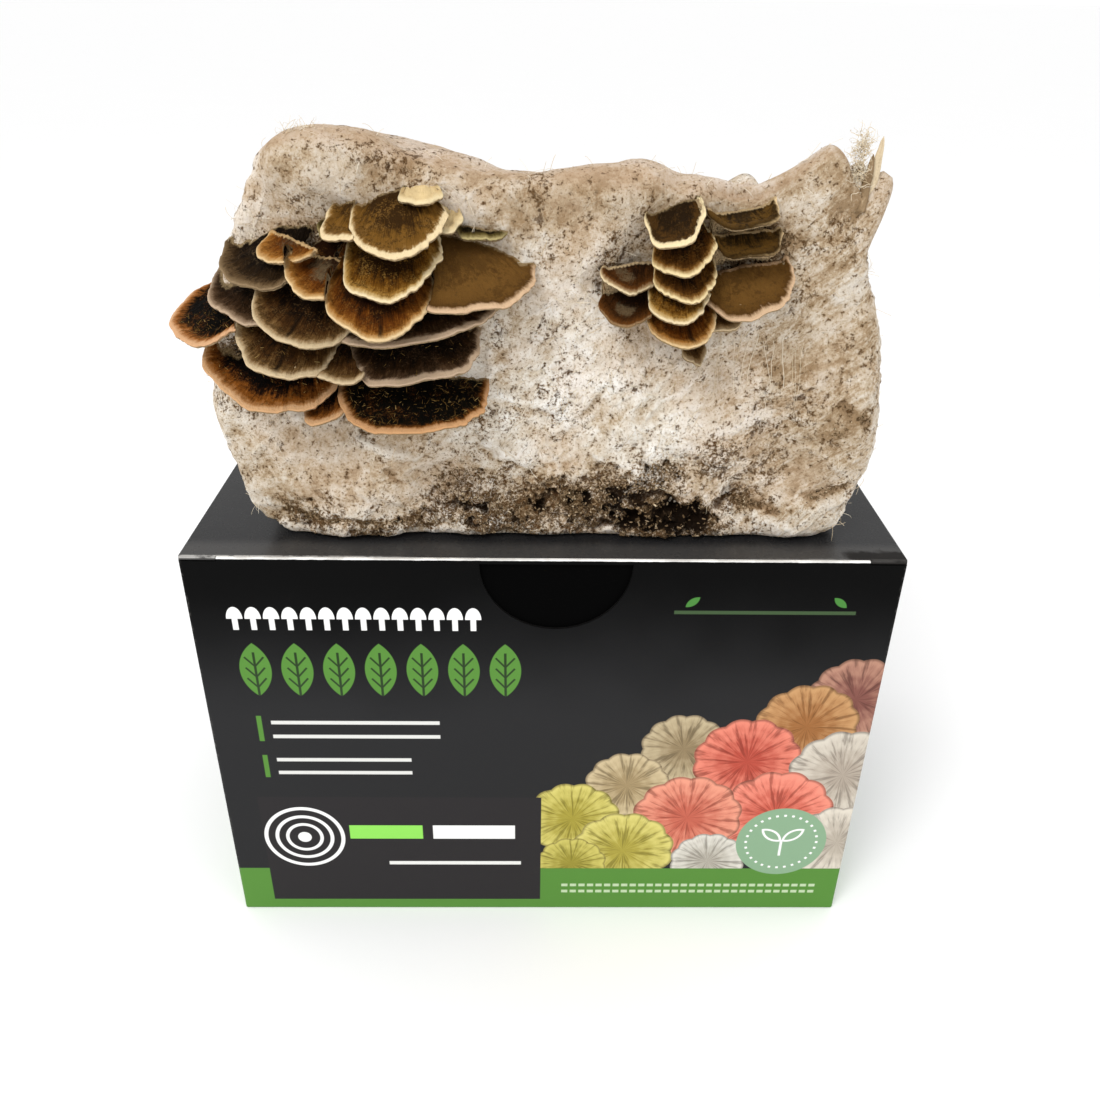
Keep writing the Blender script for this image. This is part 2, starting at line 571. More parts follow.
def block_surface(cube_points):
    """Maps a cube's surface, from -1 to 1, to the block's smooth surface in mm, with its outward lean."""
    rounding = BLOCK_FOOT_ROUNDING + ((cube_points[:, 2:] + 1) / 2) * (BLOCK_ROUNDING - BLOCK_FOOT_ROUNDING)
    boxed = cube_points * BLOCK_HALF
    inner = np.clip(boxed, rounding - BLOCK_HALF, BLOCK_HALF - rounding)
    lean = (boxed - inner) / rounding
    lean /= np.linalg.norm(lean, axis=1, keepdims=True)
    rounded = inner + lean * rounding
    across, back, level = ((rounded / BLOCK_HALF + 1) / 2).T
    height = level * (curve_through(BLOCK_TOP, rounded[:, 0]) - BLOCK_TOP_FALL * back)
    left = curve_through(BLOCK_LEFT, height)
    right = curve_through(BLOCK_RIGHT, height)
    places = np.column_stack((left + (right - left) * across,
                              (BLOCK_FRONT + BLOCK_BACK) / 2 + rounded[:, 1], height))
    fade = np.minimum(1, places[:, 2] / LUMP_FADE)
    swell = np.zeros(len(places))
    for size, scale, shift in LUMPS:
        swell = swell + noise_at(places, 1 / scale, np.array([shift, 0, 0])) * size
    return places + lean * (swell * fade)[:, None], lean


def near_line(across, level, line):
    """How far points lie from a line's axis, as a share of its half width, which narrows to its ends."""
    x0, z0, x1, z1, half_width = line[:5]
    run, rise = x1 - x0, z1 - z0
    t = np.clip(((across - x0) * run + (level - z0) * rise) / (run * run + rise * rise), 0, 1)
    taper = 0.45 + 0.55 * np.sqrt(4 * t * (1 - t))
    return np.hypot(across - x0 - t * run, level - z0 - t * rise) / (half_width * taper)


def in_oval(across, level, oval):
    """1 in the middle of a tilted oval, falling to 0 at its outline."""
    x, z, half_width, half_height, tilt, strength = oval
    turn = math.radians(tilt)
    along = (across - x) * math.cos(turn) + (level - z) * math.sin(turn)
    over = (level - z) * math.cos(turn) - (across - x) * math.sin(turn)
    return strength * smooth_step(np.hypot(along / half_width, over / half_height), 1.25, 0.25)


def block_relief(places, lean):
    """Fine relief of the block's surface in mm, and the marks that colour it."""
    across, back, level = places.T
    facing = smooth_step(-lean[:, 1], 0.3, 0.8)
    wander = np.column_stack([noise_at(places, 14, shift) for shift in (5.0, 9.0, 13.0)])
    warped = places + wander * 3.0
    soft = noise_at(places, 17, 2.0, 3)
    crease = np.clip(1 - np.abs(noise_at(warped * (1, 1, 1.3), 19, 21.0)) * 2.6, 0, 1) ** 3
    slanted = np.column_stack(((warped[:, 0] + warped[:, 2]) * 0.32, warped[:, 1],
                               (warped[:, 2] - warped[:, 0]) * 1.1))
    wrinkle = np.clip(1 - np.abs(noise_at(slanted, 7.5, 71.0)) * 3.2, 0, 1) ** 2
    wrinkle *= smooth_step(noise_at(places, 26, 77.0), -0.1, 0.35)
    clump = noise_at(places, 4.2, 31.0, 3)
    grain = noise_at(places, 1.5, 37.0, 2)
    ragged = noise_at(places, 6, 41.0, 3)
    frayed = noise_at(places, 2.2, 43.0, 2)

    def strongest(ovals, sway, rise):
        """The strongest of some ovals on the front, with outlines that noise moves by so many mm."""
        return facing * np.maximum.reduce([in_oval(across + ragged * sway, level + ragged * rise, oval)
                                           for oval in ovals])

    white = np.zeros(len(places))
    ridge = np.zeros(len(places))
    for line in RIDGES:
        near = near_line(across + ragged * 1.2, level + ragged * 1.2, line) + frayed * 0.25
        shape = smooth_step(near, 2.1, 0.2) * facing
        ridge = np.maximum(ridge, shape * line[5])
        white = np.maximum(white, shape * 0.6)
    white = np.maximum(white, strongest(WHITE_MATS, 7, 5))
    groove = np.zeros(len(places))
    for line in GROOVES:
        near = near_line(across + ragged * 1.4, level + ragged * 1.4, line) + frayed * 0.3
        groove = np.maximum(groove, smooth_step(near, 1.9, 0.1) * facing * line[5])
    dark = strongest(DARK_ZONES, 8, 6)
    pressed = strongest(PRESSED, 0, 0)
    tan = strongest(TAN_AREAS, 9, 7)
    top = smooth_step(lean[:, 2] + soft * 0.25, 0.15, 0.75)
    calm = (1 - 0.6 * np.minimum(1, pressed)) * (1 - 0.75 * smooth_step(lean[:, 2], 0.25, 0.7))

    open_patch = smooth_step(noise_at(places, 13, 51.0, 2) + dark * 0.8 - white * 0.7, 0.0, 0.45)
    hole_mask = np.clip(open_patch + dark * 0.6, 0, 1)
    hole = smooth_step(noise_at(places, 2.6, 3.0, 2), 0.3, 0.55) * hole_mask
    cavity = smooth_step(noise_at(warped, 7.5, 17.0, 4) + dark * 0.25, 0.42, 0.72)
    cavity *= smooth_step(dark, 0.3, 0.8)
    sunk = strongest(CAVITIES, 5, 4) * smooth_step(clump, -0.7, 0.1)

    rough = 0.2 + 0.25 * open_patch + 0.6 * dark
    relief = (soft * 0.8 + crease * 0.8 + wrinkle * 0.5 + ridge + white * 0.2 - groove * 0.9
              + clump * (0.4 + 1.1 * dark) + grain * rough - hole * 0.8 - cavity * 2.6)
    relief = (relief - 0.6) * calm - pressed - sunk
    upward = smooth_step(lean[:, 2], -0.3, 0.35)
    x, half_width, dent, begin, end = BACK_DENT
    fallen = smooth_step(np.abs(across - x) / half_width, 1, 0.4) * smooth_step(back, begin, end)
    relief -= dent * fallen * upward
    relief *= np.minimum(1, level / 2.0)
    cover = (0.55 + soft * 0.3 + crease * 0.25 + wrinkle * 0.25 + white * 0.5 - dark * 0.35 - groove * 0.5
             - tan * 0.34)
    bare = np.clip(open_patch * 0.45 + dark * 0.75 + groove * 0.4 - white * 0.4, 0, 1.2)
    hollow = np.clip(hole * 0.8 + cavity + sunk / 2.2, 0, 1.3)
    marks = {"cover": cover, "bare": bare, "dark": np.clip(dark + groove * 0.3, 0, 1.2), "hollow": hollow,
             "top": top, "tan": tan}
    return relief, marks


def box_skin(xs, ys, zs, open_side):
    """Points and quads of a cube's skin with lines at the given places. The side across y at the end
    that open_side names, 0 or -1, becomes one flat face; the faces' edges there are returned."""
    counts = (len(xs), len(ys), len(zs))
    last = [count - 1 for count in counts]
    numbers = {}
    points = []

    def at(i, j, k):
        if (i, j, k) not in numbers:
            numbers[i, j, k] = len(points)
            points.append((xs[i], ys[j], zs[k]))
        return numbers[i, j, k]

    quads = []
    for i in range(last[0]):
        for j in range(last[1]):
            quads.append((at(i, j, 0), at(i, j + 1, 0), at(i + 1, j + 1, 0), at(i + 1, j, 0)))
            k = last[2]
            quads.append((at(i, j, k), at(i + 1, j, k), at(i + 1, j + 1, k), at(i, j + 1, k)))
    for j in range(last[1]):
        for k in range(last[2]):
            quads.append((at(0, j, k), at(0, j, k + 1), at(0, j + 1, k + 1), at(0, j + 1, k)))
            i = last[0]
            quads.append((at(i, j, k), at(i, j + 1, k), at(i, j + 1, k + 1), at(i, j, k + 1)))
    closed_end = last[1] if open_side == 0 else 0
    for i in range(last[0]):
        for k in range(last[2]):
            quad = (at(i, closed_end, k), at(i + 1, closed_end, k),
                    at(i + 1, closed_end, k + 1), at(i, closed_end, k + 1))
            quads.append(quad if closed_end == 0 else quad[::-1])
    j = 0 if open_side == 0 else last[1]
    loop = [at(i, j, 0) for i in range(last[0])]
    loop += [at(last[0], j, k) for k in range(last[2])]
    loop += [at(i, j, last[2]) for i in range(last[0], 0, -1)]
    loop += [at(0, j, k) for k in range(last[2], 0, -1)]
    quads.append(loop if j == 0 else loop[::-1])
    return np.array(points), quads, loop


def even_lines(length, spacing, low=-1.0, high=1.0):
    return np.linspace(low, high, max(2, round(length * (high - low) / 2 / spacing) + 1))


def block_piece(name, spacing, low, high, open_side, material):
    """One part of the block, between two depths of the cube that it is mapped from."""
    half_width, half_depth = BLOCK_HALF[:2]
    xs = even_lines(2 * half_width, spacing)
    ys = even_lines(2 * half_depth, spacing, low, high)
    zs = even_lines(BLOCK_TALL, spacing)
    cube_points, faces, loop = box_skin(xs, ys, zs, open_side)
    places, lean = block_surface(cube_points)
    relief, marks = block_relief(places, lean)
    places = places + lean * relief[:, None]
    places[:, 2] = np.maximum(places[:, 2], 0) + HEIGHT + LIFT
    piece = piece_from(name, places, faces, material, marks)
    shape = bmesh.new()
    shape.from_mesh(piece.data)
    shape.verts.ensure_lookup_table()
    for first, second in zip(loop, loop[1:] + loop[:1]):
        edge = shape.edges.get((shape.verts[first], shape.verts[second]))
        edge.smooth = False
    shape.to_mesh(piece.data)
    shape.free()
    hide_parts("fruiting_block")
    return piece, places, lean, marks


def mycelium_look():
    """Felted cream mycelium over tan sawdust, with brown pits in groups and dark crumb where it is bare."""
    look = Look("mycelium", roughness=0.9, specular_ior_level=0.06)
    x, y, z = look.axes()
    cover, bare, dark, hollow, top, tan = look.marks("cover", "bare", "dark", "hollow", "top", "tan")
    cloud = look.noise(9, 4, 0.6)
    clump = look.noise(3.2, 5, 0.7)
    pit = look.noise(2.0, 5, 0.72)
    grain = look.noise(0.8, 4, 0.75)
    tint = look.noise(26, 3)
    fibres = look.noise(1.0, 3, 0.65, look.joined((x + z * 1.2) * 0.14, y * 0.3, (z - x * 0.8) * 0.8))
    fibrous = look.fade(x + (tint - 0.5) * 60, 30, 75) * (1 - dark)

    felt = (cover + (cloud - 0.5) * 1.0 + (clump - 0.5) * 1.3 - (grain - 0.5) * 1.7 - (pit - 0.5) * 1.1
            + (fibres - 0.5) * fibrous * 1.2)
    base = look.ramp(felt, [(0.0, (146, 120, 88)), (0.25, (184, 163, 135)), (0.5, (210, 196, 176)),
                            (0.8, (229, 221, 208)), (1.3, (245, 242, 236))], 1.3)
    base = look.paint(base, look.fade(tint, 0.42, 0.62) * 0.2, 206, 176, 150)
    base = look.paint(base, (tan * (0.26 + (cloud - 0.5) * 1.0)).or_less(0.7).or_more(0.0), 176, 154, 126)
    base = look.paint(base, (top * (0.5 + (clump - 0.5) * 1.2)).or_less(0.8), 184, 154, 126)

    groups = look.fade(look.noise(11, 3, 0.6), 0.44, 0.62)
    density = bare + groups * 0.25 - top * 0.15
    fine = look.fade(grain + density * 0.12, 0.56, 0.65)
    base = look.paint(base, fine * 0.7, 146, 118, 86)
    coarse = look.fade(pit + density * 0.13 + (grain - 0.5) * 0.5, 0.61, 0.68)
    base = look.paint(base, coarse * 0.85, 112, 84, 54)
    core = look.fade(pit + density * 0.13 + (grain - 0.5) * 0.7, 0.69, 0.76)
    base = look.paint(base, core * 0.85, 74, 50, 30)

    crumb = dark + (clump - 0.5) * 2.6 + (grain - 0.5) * 1.2
    base = look.paint(base, look.fade(crumb, 0.4, 0.95) * 0.72, 84, 63, 40)
    base = look.paint(base, look.fade(crumb + hollow * 0.5, 0.95, 1.4) * 0.85, 26, 17, 9)
    base = look.mix(look.fade(hollow + (grain - 0.5) * 0.9, 0.25, 0.85) * 0.85, base,
                    look.mix(look.fade(dark, 0.3, 0.9), rgb(86, 62, 40), rgb(24, 15, 8)))
    height = clump * 0.9 - grain * 0.9 - pit * 0.7 - coarse * 0.3
    return look.finish(base, 0.84 + cloud * 0.14, look.bump(height, 0.8))


def make_block():
    material = mycelium_look()
    half_depth = BLOCK_HALF[1]
    seam = -1 + SLAB_DEPTH / half_depth
    lap = SEAM_LAP / half_depth
    slab = block_piece("block_face", FRONT_SPACING, -1, seam, 1, material)
    block_piece("block_body", REST_SPACING, seam - lap, 1, 0, material)
    return slab


def fan_spread(spec):
    half_length, shift = spec[5], spec[7]
    pole_reach = shift + POLE_DEPTH
    if pole_reach <= half_length:
        return FAN_SPREAD
    return min(FAN_SPREAD, math.acos(-half_length / pole_reach) * FAN_TANGENT)


def signed_power(values, power):
    return np.copysign(np.abs(values) ** power, values)


def bracket_axes(spec):
    x, level, heading, dip, lean = spec[:5]
    turn, drop, tilt = math.radians(heading), math.radians(dip), math.radians(lean)
    out = Vector((math.sin(turn) * math.cos(drop), -math.cos(turn) * math.cos(drop), -math.sin(drop)))
    flat_out = Vector((math.sin(turn), -math.cos(turn), 0))
    flat_side = Vector((math.cos(turn), math.sin(turn), 0))
    side = flat_side * math.cos(tilt) + flat_side.cross(out) * math.sin(tilt)
    up = out.cross(side).normalized()
    root = Vector((x, ROOT_Y, HEIGHT + level + CURL))
    pole = root - flat_out * POLE_DEPTH
    highest = HEIGHT + float(curve_through(BLOCK_TOP, np.array([x]))[0]) - POLE_COVER
    pole.z = min(pole.z + POLE_RISE, highest)
    return [np.array(axis) for axis in (out, side, up, root, pole)]


def bracket_rim(spec, swing, seed, tooth):
    """Points round a bracket's rim: the smooth outline with lobes and small teeth."""
    out, side, up, root = bracket_axes(spec)[:4]
    half_length, half_width, shift, square = spec[5:]
    size = min(half_length, half_width)
    trace = np.column_stack((swing * size, np.full(len(swing), seed * 17.0), np.zeros(len(swing))))
    lobes = noise_at(trace, 6.5) * min(1.1, size * 0.09)
    ragged = 0.35 + 0.65 * smooth_step(swing, -0.4, 0.6)
    teeth = (noise_at(trace, 1.8, 3.0) * 0.45 + noise_at(trace, 0.9, 7.0) * 0.3) * tooth * ragged
    wave = WAVE * np.sin(swing * WAVES + spec[0]) + lobes + teeth
    along = shift + (half_length + wave) * signed_power(np.cos(swing), square)
    across = (half_width + wave) * signed_power(np.sin(swing), square)
    ripple = noise_at(trace, 8.0, 21.0) * min(1.2, size * 0.08)
    return root + np.outer(along, out) + np.outer(across, side) + np.outer(ripple, up)


def back_edge(places, axes, edge):
    """How far points drop behind a bracket's free back edge, in mm, and how near it they are, to 1."""
    if edge is None:
        return np.zeros(len(places)), np.zeros(len(places))
    out, side, root = axes[0], axes[1], axes[3]
    behind = edge[0] + edge[1] * ((places - root) @ side) - (places - root) @ out
    return BACK_DROP * smooth_step(behind, 0.0, 2.5), smooth_step(np.abs(behind + 0.3), 1.1, 0.3)


def bracket_marks(gap, swing, size, finish):
    """Marks on a bracket's top: the width of its margin, its grey bloom and its dark radial line."""
    left, middle, right, bloom, line = finish[1:]
    aside = np.clip(swing / math.radians(100), -1, 1)
    width = np.where(aside < 0, middle + (left - middle) * -aside, middle + (right - middle) * aside)
    middle_gap = size * 0.75
    spread = np.hypot((gap - middle_gap) / (size * 0.42), aside / 0.45)
    marks = {"margin": width, "bloom": bloom * smooth_step(spread, 1.0, 0.25)}
    if line is None:
        marks["line"] = np.zeros(len(gap))
    else:
        far = np.abs(swing - math.radians(line)) * size
        marks["line"] = smooth_step(far, 1.1, 0.2) * smooth_step(gap, 0.6, 1.6) * smooth_step(gap, 11, 5)
    return marks


def bracket_skin(spec, seed, tooth, finish, edge=None):
    """Points, faces and marks of a bracket: a closed section swept round its fan."""
    axes = bracket_axes(spec)
    up, pole = axes[2], axes[4]
    half_length, half_width, shift = spec[5:8]
    spread = fan_spread(spec)
    spokes = max(FEWEST_SPOKES, round(spread * (half_length + half_width) / SPOKE_SPACING))
    swing = np.linspace(-spread, spread, spokes)
    rim = bracket_rim(spec, swing, seed, tooth)
    spans = np.linalg.norm(rim - pole, axis=1)

    def bowed(ring):
        """The bowed fan at a share of the way from its pole to its rim, and how far off the rim is."""
        places = pole + (rim - pole) * ring + up * (4 * ring * (1 - ring) * DOME * (half_length + shift))
        places[:, 2] -= CURL * ring ** 3
        return places, (1 - ring) * spans

    # Rows of points along the swing, each with its distance from the rim, its share of the way to the
    # underside and how near it is to a free back edge
    rows = []
    for ring in FIRST_RING + (1 - FIRST_RING) * np.linspace(0, 1, TOP_RINGS) ** 0.75:
        top, gap = bowed(ring)
        zones = 0.14 * np.sin(gap * 1.9 + seed) * smooth_step(gap, 0.6, 3.0)
        trace = np.column_stack((swing * 9, gap * 0.12, np.full(spokes, seed * 5.0)))
        radial = noise_at(trace, 1.0) * 0.45 * ring
        pucker = noise_at(top, 4.0, seed, 2) * 0.6 * ring * (1 - ring ** 6)
        lip = 0.4 * smooth_step(gap, 2.2, 0.5)
        bowl = -BOWL * smooth_step(gap, 1.2, 4.5) * smooth_step(ring, 0.3, 0.7)
        drop, crest = back_edge(top, axes, edge)
        top[:, 2] += 0.5 * crest - drop
        rows.append((top + np.outer(zones + radial + pucker + lip + bowl, up), gap, 0, crest))
    rim_top = rows[-1][0]
    outward = rim_top - rows[-3][0]
    outward[:, 2] = 0
    outward /= np.linalg.norm(outward, axis=1, keepdims=True)
    thickness = RIM_THICKNESS + 0.22 * noise_at(rim_top, 4.0, 2.0)
    for step in range(1, RIM_STEPS):
        turn = math.pi * step / RIM_STEPS
        bulge = np.outer(thickness / 2 * math.sin(turn), np.ones(3)) * outward
        drop = np.outer(thickness / 2 * (1 - math.cos(turn)), (0, 0, 1))
        rows.append((rim_top + bulge - drop, -0.5 * math.sin(turn), step / RIM_STEPS, 0))
    for ring in FIRST_RING + (1 - FIRST_RING) * np.linspace(1, 0, UNDER_RINGS) ** 0.75:
        under, gap = bowed(ring)
        under[:, 2] -= ROOT_THICKNESS * (1 - ring)
        belly = 1.1 * BOWL * smooth_step(gap, 1.2, 4.5) * smooth_step(ring, 0.3, 0.7)
        under[:, 2] -= thickness * ring + belly + back_edge(under, axes, edge)[0]
        rows.append((under, gap, 1, 0))

    count = len(rows)
    sections, *traits = zip(*rows)
    points = np.stack(sections, axis=1).reshape(-1, 3)
    marks = {"swing": np.repeat(swing, count), "seed": np.full(spokes * count, float(seed))}
    for mark, values in zip(("gap", "under", "crest"), traits):
        marks[mark] = np.stack([np.broadcast_to(value, spokes) for value in values], axis=1).ravel()
    marks.update(bracket_marks(marks["gap"], marks["swing"], min(half_length, half_width), finish))
    faces = []
    for spoke in range(spokes - 1):
        for row in range(count):
            here = spoke * count + row
            near = spoke * count + (row + 1) % count
            faces.append((here, near, near + count, here + count))
    faces.append(list(range(count))[::-1])
    faces.append(list(range((spokes - 1) * count, spokes * count)))
    return points, faces, marks


def blend(first, second, share):
    return tuple(a + (b - a) * share for a, b in zip(first, second))


def bracket_look(name, centre, middle, outer, margin, outer_reach, blotch, centre_gap):
    """Pale at the rim and fading inwards to a dark centre, with radial streaks and blotches, over a pale
    pored underside."""
    look = Look("bracket_" + name, roughness=0.8, specular_ior_level=0.05)
    gap, under, swing, seed, margin_width = look.marks("gap", "under", "swing", "seed", "margin")
    bloom, line, crest, near = look.marks("bloom", "line", "crest", "near")
    streak = look.noise(1.0, 4, 0.65, look.joined(swing * 7, gap * 0.08, seed))
    hairs = look.noise(1.0, 3, 0.65, look.joined(swing * 34, gap * 0.22, seed))
    patch = look.noise(5, 4, 0.6)
    mottle = look.noise(1.6, 4, 0.7)
    fuzz = look.noise(0.5, 3, 0.7)

    uneven = 1 + (streak - 0.5) * 1.7 + (mottle - 0.5) * 1.3 + (hairs - 0.5) * 1.2
    depth = gap * uneven.or_more(0.3) - margin_width + RIM_OFFSET
    bright = tuple(min(255, part * 1.03) for part in margin)
    deep = 20.0
    base = look.ramp(depth, [
        (0.0, bright), (0.55, margin), (1.25, blend(margin, outer, 0.5)), (1.3 + outer_reach * 0.35, outer),
        (1.3 + outer_reach, blend(outer, middle, 0.7)), (max(centre_gap * 0.7, 1.9 + outer_reach), middle),
        (max(centre_gap * 1.25, 3.5 + outer_reach), centre), (deep, centre)], deep)
    inside = look.fade(depth, 0.8, 3.0)
    dark_blotch = look.fade(mottle + (patch - 0.5) * 0.9, 0.5, 0.66) * inside * blotch
    base = look.paint(base, (dark_blotch * 0.7).or_less(1.0), *centre)
    pale_blotch = look.fade(fuzz + (patch - 0.5) * 0.9 + (mottle - 0.5) * 0.5, 0.56, 0.72) * inside * blotch
    base = look.paint(base, (pale_blotch * 0.6).or_less(1.0), *outer)
    base = look.paint(base, look.fade(bloom + (mottle - 0.5) * 2.2 + (fuzz - 0.5) * 1.2, 0.2, 1.2) * 0.7,
                      *BLOOM_COLOUR)
    base = look.paint(base, look.fade(hairs, 0.52, 0.72) * inside * 0.45, *centre)
    base = look.paint(base, line * 0.85, *LINE_COLOUR)
    base = look.paint(base, look.fade(near + (fuzz - 0.5) * 2.0 + (mottle - 0.5) * 1.5, 4.0, 0.8) * 0.35,
                      *centre)
    base = look.paint(base, look.fade(near + (fuzz - 0.5) * 1.6 + (mottle - 0.5) * 1.6, 1.1, 0.3) * 0.75,
                      *FELT_EDGE)
    base = look.paint(base, look.fade(crest + (fuzz - 0.5) * 0.8, 0.35, 0.7) * 0.85,
                      *blend(margin, outer, 0.25))
    base = look.paint(base, look.fade(fuzz, 0.42, 0.3) * look.fade(depth, 1.6, 0.2) * 0.4,
                      *blend(margin, outer, 0.6))
    pores = look.cells(0.55)
    below = look.fade(under, 0.7, 0.95)
    base = look.mix(below, base, look.mix(look.fade(pores, 0.35, 0.1), rgb(176, 152, 116), rgb(122, 98, 68)))
    height = (mottle * 0.9 + fuzz * 0.7 + streak * 0.5 + hairs * 0.5) * (1 - below) + below * pores
    return look.finish(base, 0.7 + mottle * 0.28, look.bump(height, 0.6))


def carve(target, cutters):
    """Cuts a bracket by those over it and keeps its largest body."""
    for cutter in cutters:
        modifier = target.modifiers.new("cut", "BOOLEAN")
        modifier.operation = "DIFFERENCE"
        modifier.solver = "MANIFOLD"
        modifier.object = cutter
    bpy.context.view_layer.update()
    graph = bpy.context.evaluated_depsgraph_get()
    mesh = bpy.data.meshes.new_from_object(target.evaluated_get(graph))
    target.modifiers.clear()
    target.data = mesh
    shape = bmesh.new()
    shape.from_mesh(mesh)
    bodies = []
    left = set(shape.verts)
    while left:
        body = [left.pop()]
        for vert in body:
            for edge in vert.link_edges:
                other = edge.other_vert(vert)
                if other in left:
                    left.remove(other)
                    body.append(other)
        bodies.append(body)
    bodies.sort(key=len)
    crumbs = [vert for body in bodies[:-1] for vert in body]
    bmesh.ops.delete(shape, geom=crumbs, context="VERTS")
    shape.to_mesh(mesh)
    shape.free()
    mesh.shade_smooth()


def boxes_meet(one, other):
    corners = []
    for thing in (one, other):
        places = mesh_places(thing.data)
        corners.append((places.min(axis=0), places.max(axis=0)))
    (low_a, high_a), (low_b, high_b) = corners
    return bool(np.all(low_a < high_b) and np.all(low_b < high_a))


def raised_copy(mesh):
    """A copy of a bracket's mesh with a raised top, to clear what would poke through it."""
    copy = mesh.copy()
    places = mesh_places(copy)
    places[mesh_mark(copy, "under") == 0, 2] += CUT_ABOVE * MM
    copy.vertices.foreach_set("co", places.ravel())
    return copy


def surface_tree(surface):
    """A search tree of the block's face, in mm."""
    piece, places = surface[:2]
    corners = [tuple(face.vertices) for face in piece.data.polygons if len(face.vertices) == 4]
    return BVHTree.FromPolygons(places.tolist(), corners)


def distances_to(tree, points):
    """How far points lie from the block's face, up to NEAR_LIMIT mm."""
    found = [tree.find_nearest(point, NEAR_LIMIT)[3] for point in points.tolist()]
    return np.array([NEAR_LIMIT if distance is None else distance for distance in found])


def make_brackets(side, specs, finishes, looks, first_seed, tree):
    """One cluster of brackets, each cut where one listed before it lies over it. A recess is cut by the
    others as they stand, the rest by raised copies of them."""
    made = []
    for i, (spec, finish) in enumerate(zip(specs, finishes)):
        name = "cap_%s_%02d" % (side, i + 1)
        tooth = COARSE_TOOTH if finish[0] in TOOTHED else 1.0
        points, faces, marks = bracket_skin(spec, first_seed + i, tooth, finish, BACK_EDGES.get(name))
        marks["near"] = distances_to(tree, points)
        piece = piece_from(name + "_fan", points, faces, looks[finish[0]], marks)
        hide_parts(name)
        made.append(piece)
    plain = [piece.data.copy() for piece in made]
    raised = [raised_copy(piece.data) for piece in made]
    for i, piece in enumerate(made):
        over = [other for other in made[:i] if boxes_meet(piece, other)]
        cutters = plain if finishes[i][0] == "recess" else raised
        stand_ins = []
        for other in over:
            stand_in = bpy.data.objects.new("cutter", cutters[made.index(other)])
            bpy.context.scene.collection.objects.link(stand_in)
            stand_ins.append(stand_in)
        carve(piece, stand_ins)
        for stand_in in stand_ins:
            bpy.data.objects.remove(stand_in)


def unit(vectors):
    return vectors / (np.linalg.norm(vectors, axis=-1, keepdims=True) + 1e-9)


def slivers(centres, along, over, sizes):
    """Points and faces of small boxes: centres, two unit axes each, and their three lengths."""
    third = np.cross(along, over)
    corners = np.array([(i, j, k) for i in (-1, 1) for j in (-1, 1) for k in (-1, 1)]) / 2
    pinch = np.array([0.55, 0.55, 0.75, 0.75, 1, 1, 0.8, 0.8])
    points = (centres[:, None, :] + corners[None, :, :1] * (along * sizes[:, :1])[:, None, :]
              + (corners[:, 1] * pinch)[None, :, None] * (over * sizes[:, 1:2])[:, None, :]
              + corners[None, :, 2:] * (third * sizes[:, 2:])[:, None, :])
    sides = np.array([(0, 1, 3, 2), (4, 6, 7, 5), (0, 4, 5, 1), (2, 3, 7, 6), (0, 2, 6, 4), (1, 5, 7, 3)])
    faces = (np.arange(len(centres)) * CHIP_CORNERS)[:, None, None] + sides[None]
    return points.reshape(-1, 3), faces.reshape(-1, 4).tolist()


def tubes(paths, radii):
    """Points and faces of thin closed square tubes, along paths of the same number of points."""
    count, steps = paths.shape[:2]
    ahead = unit(np.gradient(paths, axis=1))
    aside = unit(np.cross(ahead, np.array([0.31, -0.52, 0.79])))
    across = np.cross(ahead, aside)
    rings = [paths + (aside * math.cos(turn) + across * math.sin(turn)) * radii[:, :, None]
             for turn in (0, math.pi / 2, math.pi, 1.5 * math.pi)]
    points = np.stack(rings, axis=2).reshape(-1, 3)
    faces = []
    for tube in range(count):
        start = tube * steps * TUBE_SIDES
        for step in range(steps - 1):
            ring = [start + step * TUBE_SIDES + side for side in range(TUBE_SIDES)]
            faces += [(here, beside, beside + TUBE_SIDES, here + TUBE_SIDES)
                      for here, beside in zip(ring, ring[1:] + ring[:1])]
        last = start + (steps - 1) * TUBE_SIDES
        faces.append(tuple(range(start, start + TUBE_SIDES))[::-1])
        faces.append(tuple(range(last, last + TUBE_SIDES)))
    return points, faces


def thread_piece(name, paths, radii, tone, material):
    """A piece made of thin tubes along paths in mm, each with its tone."""
    points, faces = tubes(paths, radii)
    piece_from(name, points, faces, material, {"tone": np.repeat(tone, paths.shape[1] * TUBE_SIDES)})


def toned_look(name, stops):
    """A plain fibrous material whose colour follows each point's tone, from 0 to 1."""
    look = Look(name, roughness=0.85, specular_ior_level=0.08)
    grain = look.noise(0.6, 3, 0.7)
    tone = look.marks("tone")[0]
    base = look.ramp(tone + (grain - 0.5) * 0.4, stops)
    return look.finish(base, 0.75 + grain * 0.2, look.bump(grain, 0.15))


